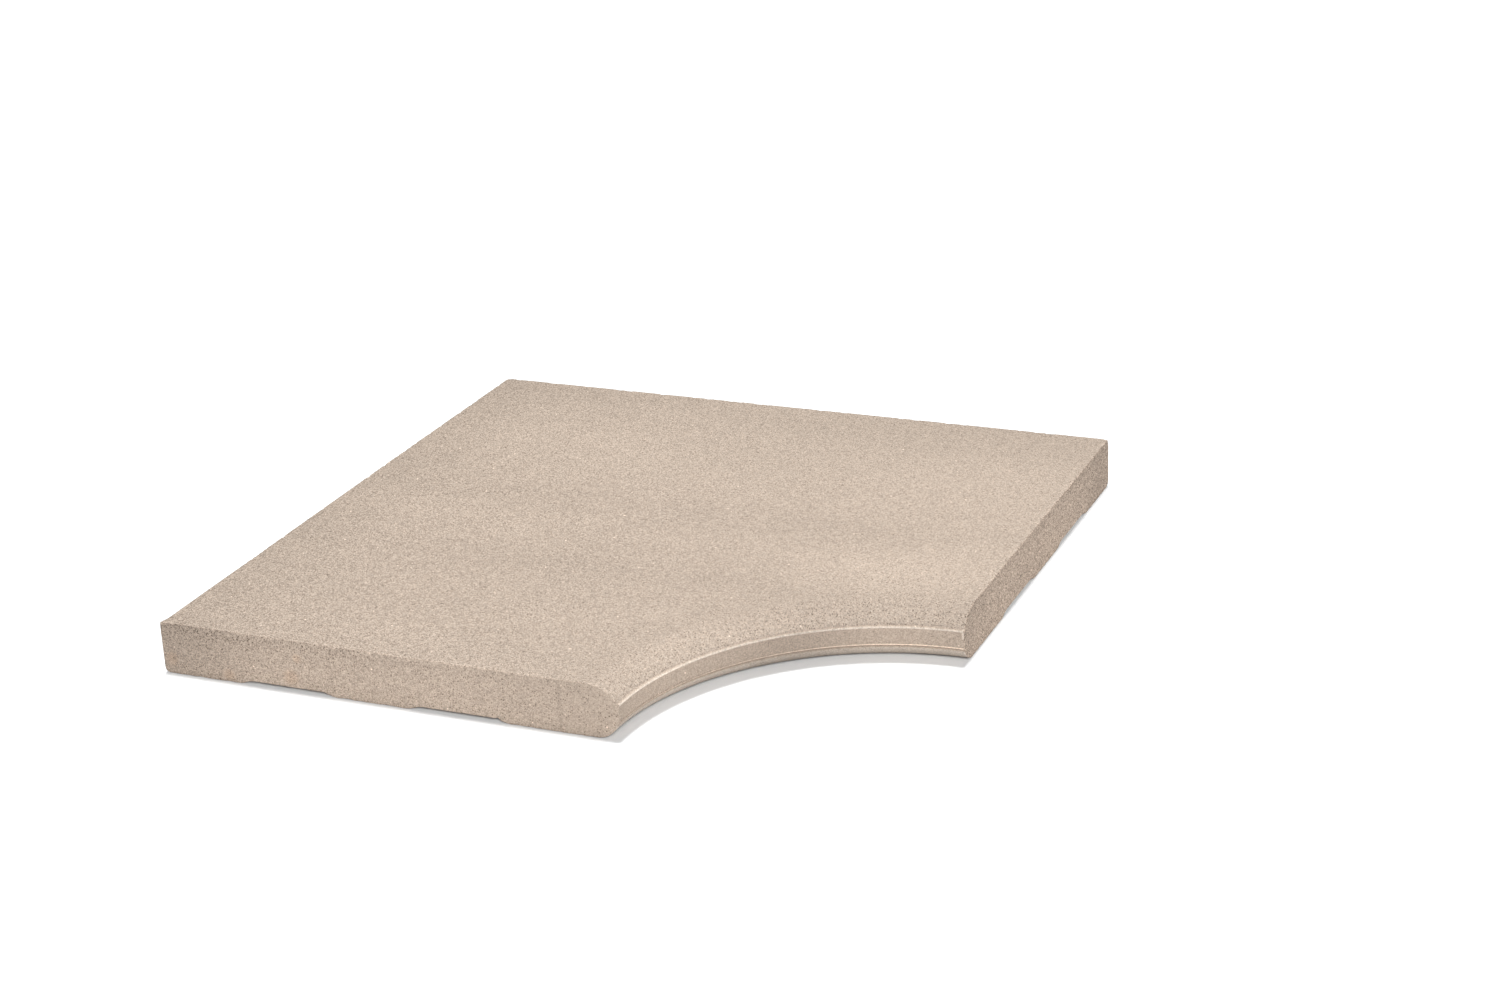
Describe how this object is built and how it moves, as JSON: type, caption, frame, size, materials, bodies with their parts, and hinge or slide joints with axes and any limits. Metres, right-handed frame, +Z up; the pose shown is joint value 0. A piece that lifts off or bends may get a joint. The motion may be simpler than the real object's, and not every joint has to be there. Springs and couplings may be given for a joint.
{
  "type": "pool coping stone",
  "caption": "Inside-corner pool coping stone: a square cast slab whose cut-off corner is a concave moulded bullnose, on a ribbed underside.",
  "frame": {"origin": "on the bed, in the middle of the 600 mm square that the stone is cut from", "axes": "+Z up out of the walking face; the concave nose is in the corner at +X, -Y, and the joint faces look along -Y and +X"},
  "size_m": [0.6, 0.6, 0.044],
  "materials": {
    "cast_stone": "fine sandblasted cast stone, matt, warm sand beige"
  },
  "bodies": {
    "root": {"coping_stone": "cast_stone"}
  },
  "joints": []
}
